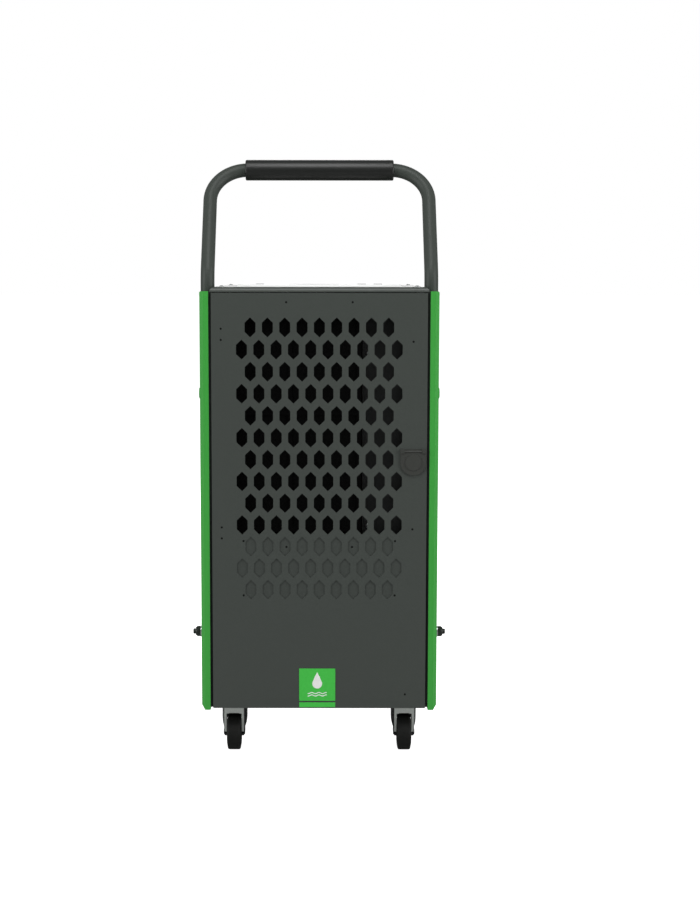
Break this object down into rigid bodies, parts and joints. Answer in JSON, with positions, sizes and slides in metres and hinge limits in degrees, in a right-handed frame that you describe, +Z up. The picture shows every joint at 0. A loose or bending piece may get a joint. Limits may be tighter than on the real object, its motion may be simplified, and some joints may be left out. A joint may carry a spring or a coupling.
{
  "type": "dehumidifier",
  "caption": "Mobile refrigerant dehumidifier: dark steel cabinet with green side covers, slotted hinged door, bent tube handle, cooling unit inside and castors below.",
  "frame": {"origin": "centre of the bounding box's base, on the floor between the wheels", "axes": "+Z up, +X to the right seen from the front, -Y towards the front (the door), +Y towards the rear"},
  "size_m": [0.4624, 0.4472, 1.0932],
  "materials": {
    "graphite_paint": "fine-textured powder coat, satin",
    "green_paint": "smooth powder coat, semi-gloss",
    "galvanised_steel": "zinc plated sheet, dull",
    "zinc_plated": "bright zinc plated",
    "black_steel": "black zinc or black paint, satin",
    "foam_grip": "closed-cell foam, matte",
    "black_rubber": "matte",
    "wheel_plastic": "moulded tread and rim, satin",
    "black_plastic": "moulded, fine grain",
    "white_plastic": "moulded, semi-gloss",
    "key_plastic": "moulded key caps",
    "display_glass": "dark tinted window",
    "filter_foam": "open foam in a plastic frame",
    "aluminium_fins": "fin packs with copper return bends",
    "copper": "copper tube",
    "circuit_board": "printed board with its parts",
    "badge_green": "printed label sheet"
  },
  "bodies": {
    "cabinet": {"base_tray": "galvanised_steel", "inner_sides": "galvanised_steel", "mid_deck": "galvanised_steel", "divider": "galvanised_steel", "rear_panel": "graphite_paint", "side_cover_left": "green_paint", "side_cover_right": "green_paint", "lid": "graphite_paint", "handle_tube": "graphite_paint", "grip": "foam_grip", "handle_bolts": "black_steel", "handle_upper_screws": "green_paint", "handle_washers": "zinc_plated", "handle_nuts": "black_steel", "control_fascia": "white_plastic", "display_window": "display_glass", "air_filter": "filter_foam", "evaporator": "aluminium_fins", "condenser": "aluminium_fins", "fan_shroud": "galvanised_steel", "fan_motor": "black_steel", "compressor": "black_steel", "compressor_mounts": "black_rubber", "refrigerant_pipes": "copper", "drip_tray": "black_plastic", "drain_hose": "black_rubber", "drain_spigot": "black_plastic", "electrics_cover": "black_steel", "panel_screws": "zinc_plated", "control_board": "circuit_board", "cable_gland": "black_plastic", "frame_hinge_leaves": "zinc_plated", "hinge_pins": "zinc_plated", "castor_plates": "zinc_plated", "castor_screws": "zinc_plated", "rear_castor_forks": "zinc_plated", "rear_axles": "black_steel"},
    "door": {"front_door": "graphite_paint", "door_hinge_leaves": "zinc_plated", "blanking_plate": "black_steel", "door_rivets": "black_steel", "badge": "badge_green", "lock_escutcheon": "black_plastic", "lock_pin": "zinc_plated"},
    "lock_cover": {"lock_flap": "black_plastic"},
    "lock_barrel": {"lock_cylinder": "zinc_plated", "lock_cam": "zinc_plated"},
    "power_key": {"key_power": "key_plastic"},
    "plus_key": {"key_plus": "key_plastic"},
    "minus_key": {"key_minus": "key_plastic"},
    "fan": {"fan_shaft": "zinc_plated", "impeller": "black_plastic"},
    "castor_left": {"castor_fork_left": "zinc_plated", "castor_axle_left": "black_steel"},
    "castor_right": {"castor_fork_right": "zinc_plated", "castor_axle_right": "black_steel"},
    "wheel_front_left": {"castor_wheel_left": "wheel_plastic"},
    "wheel_front_right": {"castor_wheel_right": "wheel_plastic"},
    "wheel_rear_left": {"rear_wheel_left": "wheel_plastic"},
    "wheel_rear_right": {"rear_wheel_right": "wheel_plastic"}
  },
  "joints": [
    {"name": "door_hinge", "type": "hinge", "parent": "cabinet", "child": "door", "pos_m": [-0.1895, -0.21345, 0.59585], "axis": [0, 0, -1], "range_deg": [0, 110]},
    {"name": "lock_cover_hinge", "type": "hinge", "parent": "door", "child": "lock_cover", "pos_m": [0.1695, -0.22195, 0.5652], "axis": [-1, 0, 0], "range_deg": [0, 150]},
    {"name": "lock_turn", "type": "hinge", "parent": "door", "child": "lock_barrel", "pos_m": [0.1695, -0.21345, 0.5452], "axis": [0, -1, 0], "range_deg": [0, 90]},
    {"name": "key_power_press", "type": "slide", "parent": "cabinet", "child": "power_key", "axis": [0, 0, -1], "range_m": [0, 0.0008], "stiffness_N_per_m": 900, "springref_m": -0.0003},
    {"name": "key_plus_press", "type": "slide", "parent": "cabinet", "child": "plus_key", "axis": [0, 0, -1], "range_m": [0, 0.0008], "stiffness_N_per_m": 900, "springref_m": -0.0003},
    {"name": "key_minus_press", "type": "slide", "parent": "cabinet", "child": "minus_key", "axis": [0, 0, -1], "range_m": [0, 0.0008], "stiffness_N_per_m": 900, "springref_m": -0.0003},
    {"name": "fan_spin", "type": "hinge", "parent": "cabinet", "child": "fan", "pos_m": [-0.053, -0.01845, 0.625], "axis": [0, 1, 0], "continuous": true},
    {"name": "castor_swivel_left", "type": "hinge", "parent": "cabinet", "child": "castor_left", "pos_m": [-0.158, -0.14545, 0.085], "axis": [0, 0, 1], "continuous": true},
    {"name": "castor_swivel_right", "type": "hinge", "parent": "cabinet", "child": "castor_right", "pos_m": [0.158, -0.14545, 0.085], "axis": [0, 0, 1], "continuous": true},
    {"name": "wheel_spin_front_left", "type": "hinge", "parent": "castor_left", "child": "wheel_front_left", "pos_m": [-0.158, -0.16645, 0.033], "axis": [1, 0, 0], "continuous": true},
    {"name": "wheel_spin_front_right", "type": "hinge", "parent": "castor_right", "child": "wheel_front_right", "pos_m": [0.158, -0.16645, 0.033], "axis": [1, 0, 0], "continuous": true},
    {"name": "wheel_spin_rear_left", "type": "hinge", "parent": "cabinet", "child": "wheel_rear_left", "pos_m": [-0.158, 0.13155, 0.033], "axis": [1, 0, 0], "continuous": true},
    {"name": "wheel_spin_rear_right", "type": "hinge", "parent": "cabinet", "child": "wheel_rear_right", "pos_m": [0.158, 0.13155, 0.033], "axis": [1, 0, 0], "continuous": true}
  ]
}
